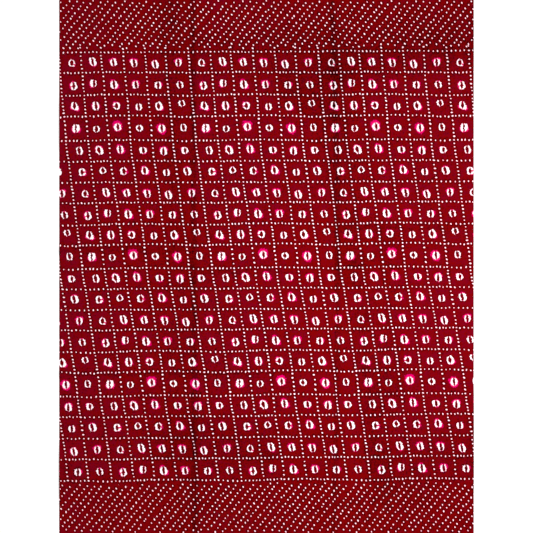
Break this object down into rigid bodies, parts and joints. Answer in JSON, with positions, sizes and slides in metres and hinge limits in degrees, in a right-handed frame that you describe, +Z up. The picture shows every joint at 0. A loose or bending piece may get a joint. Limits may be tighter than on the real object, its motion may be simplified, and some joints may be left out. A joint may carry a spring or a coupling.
{
  "type": "flat length of wax print cloth",
  "caption": "Cut length of dark red printed cotton, unfolded and laid flat: a dotted square lattice with a white eye in each cell, dotted borders and pressed fold creases.",
  "frame": {"origin": "on the surface that the cloth lies on, under the middle of the cloth", "axes": "+X along the cut length, from raw edge to raw edge; +Y across the cloth, from selvedge to selvedge; +Z up, out of the printed face"},
  "size_m": [0.9144, 1.19, 0.0053],
  "materials": {
    "printed_cotton": "matt starched plain weave cotton, wax resist printed"
  },
  "bodies": {
    "root": {"cloth": "printed_cotton"}
  },
  "joints": []
}
